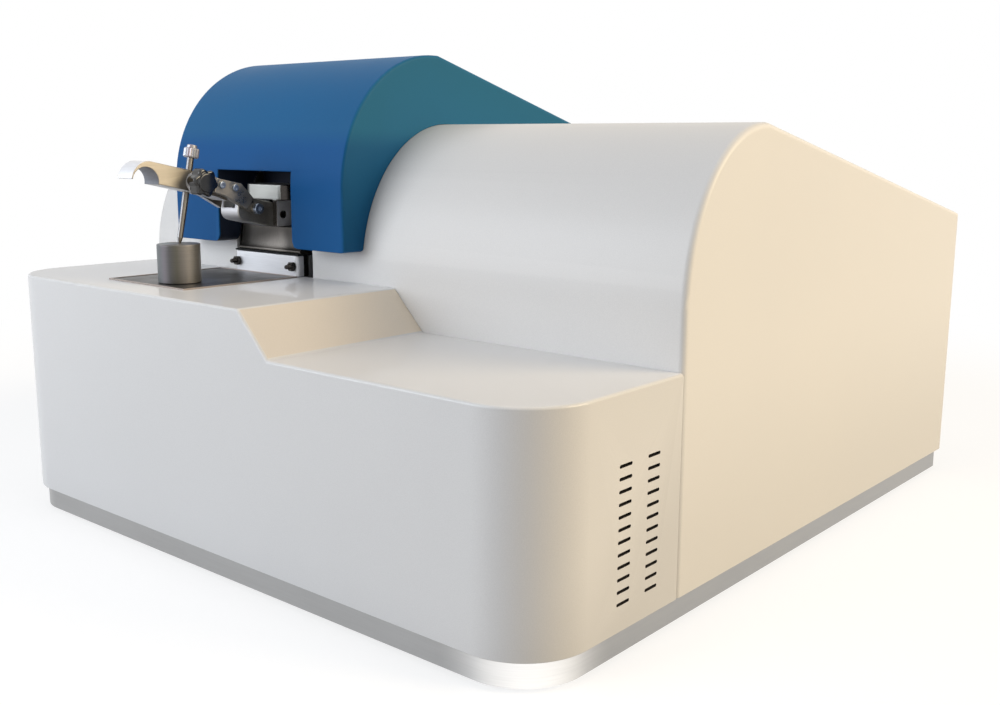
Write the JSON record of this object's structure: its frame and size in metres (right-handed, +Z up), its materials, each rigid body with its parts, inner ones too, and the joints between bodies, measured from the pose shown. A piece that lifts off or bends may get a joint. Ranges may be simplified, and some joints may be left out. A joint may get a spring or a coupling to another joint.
{
  "type": "optical emission spectrometer",
  "caption": "Bench-top optical emission spectrometer with a crowned cabinet, a saddle hood over the open spark stand, and a lever clamp holding a sample disc.",
  "frame": {"origin": "centre of the footprint at the underside of the feet", "axes": "+Z up, +Y from the spark stand's front towards the rear panel, +X to the right when facing the front"},
  "size_m": [0.64, 0.706, 0.424],
  "materials": {
    "pearl_paint": "satin",
    "blue_paint": "satin",
    "shade_paint": "matt",
    "plinth_steel": "satin",
    "bright_aluminium": "satin",
    "brushed_steel": "brushed",
    "polished_steel": "polished",
    "sample_steel": "ground",
    "dark_plate": "polished",
    "black_plastic": "satin",
    "rubber": "matt",
    "gasket_rubber": "matt",
    "white_ceramic": "matt",
    "tungsten": "ground",
    "cast_aluminium": "matt",
    "brass": "satin",
    "glass": "polished",
    "board_green": "satin",
    "tube_clear": "satin"
  },
  "bodies": {
    "cabinet": {"front_housing": "pearl_paint", "rear_housing": "pearl_paint", "spark_stand_hood": "blue_paint", "recess_liner": "shade_paint", "base_plinth": "plinth_steel", "table_rim": "bright_aluminium", "table_fence": "bright_aluminium", "clamp_bracket": "bright_aluminium", "support_arm": "bright_aluminium", "fence_stud_left": "brushed_steel", "fence_nut_left": "brushed_steel", "fence_stud_right": "brushed_steel", "fence_nut_right": "brushed_steel", "clamp_column": "brushed_steel", "bracket_pin": "brushed_steel", "hinge_bolt": "brushed_steel", "fan_guard": "brushed_steel", "data_port": "brushed_steel", "entrance_slit": "brushed_steel", "power_supply": "brushed_steel", "table_plate": "dark_plate", "fan_frame": "black_plastic", "power_inlet": "black_plastic", "switch_frame": "black_plastic", "detector_array": "black_plastic", "foot_front_left": "rubber", "foot_front_right": "rubber", "foot_rear_left": "rubber", "foot_rear_right": "rubber", "column_gasket": "gasket_rubber", "aperture_insert": "white_ceramic", "spark_source": "white_ceramic", "counter_electrode": "tungsten", "floor_plate": "cast_aluminium", "stand_body": "cast_aluminium", "stand_frame": "cast_aluminium", "light_pipe": "cast_aluminium", "clamp_block": "cast_aluminium", "rear_panel": "cast_aluminium", "optical_chamber": "cast_aluminium", "chamber_lid": "cast_aluminium", "grating_mount": "cast_aluminium", "electrode_holder": "brass", "argon_inlet": "brass", "argon_outlet": "brass", "argon_manifold": "brass", "entrance_lens": "glass", "grating": "glass", "controller_board": "board_green", "argon_line": "tube_clear"},
    "clamp_arm": {"clamp_lever": "polished_steel", "side_link": "brushed_steel"},
    "pressure_rod": {"clamp_rod": "polished_steel", "rod_head": "bright_aluminium"},
    "lock": {"lock_knob": "black_plastic", "lock_screw": "brushed_steel"},
    "sample": {"sample_disc": "sample_steel"},
    "rocker": {"power_rocker": "black_plastic"},
    "fan": {"fan_rotor": "black_plastic"}
  },
  "joints": [
    {"name": "lever_hinge", "type": "hinge", "parent": "cabinet", "child": "clamp_arm", "pos_m": [-0.129, -0.2225, 0.2875], "axis": [-1, 0, 0], "range_deg": [0, 40], "stiffness_Nm_per_rad": 0.8, "springref_deg": -14.32},
    {"name": "rod_slide", "type": "slide", "parent": "clamp_arm", "child": "pressure_rod", "axis": [0, 0.2079, 0.9781], "range_m": [0, 0.018]},
    {"name": "lock_turn", "type": "hinge", "parent": "clamp_arm", "child": "lock", "pos_m": [-0.1133, -0.27914, 0.31201], "axis": [1, 0, 0], "range_deg": [0, 360]},
    {"name": "sample_slide", "type": "slide", "parent": "cabinet", "child": "sample", "axis": [-1, 0, 0], "range_m": [0, 0.045]},
    {"name": "rocker_tilt", "type": "hinge", "parent": "cabinet", "child": "rocker", "pos_m": [-0.155, 0.3323, 0.083], "axis": [1, 0, 0], "range_deg": [0, 20]},
    {"name": "fan_spin", "type": "hinge", "parent": "cabinet", "child": "fan", "pos_m": [0.2, 0.324, 0.133], "axis": [0, 1, 0], "continuous": true}
  ]
}
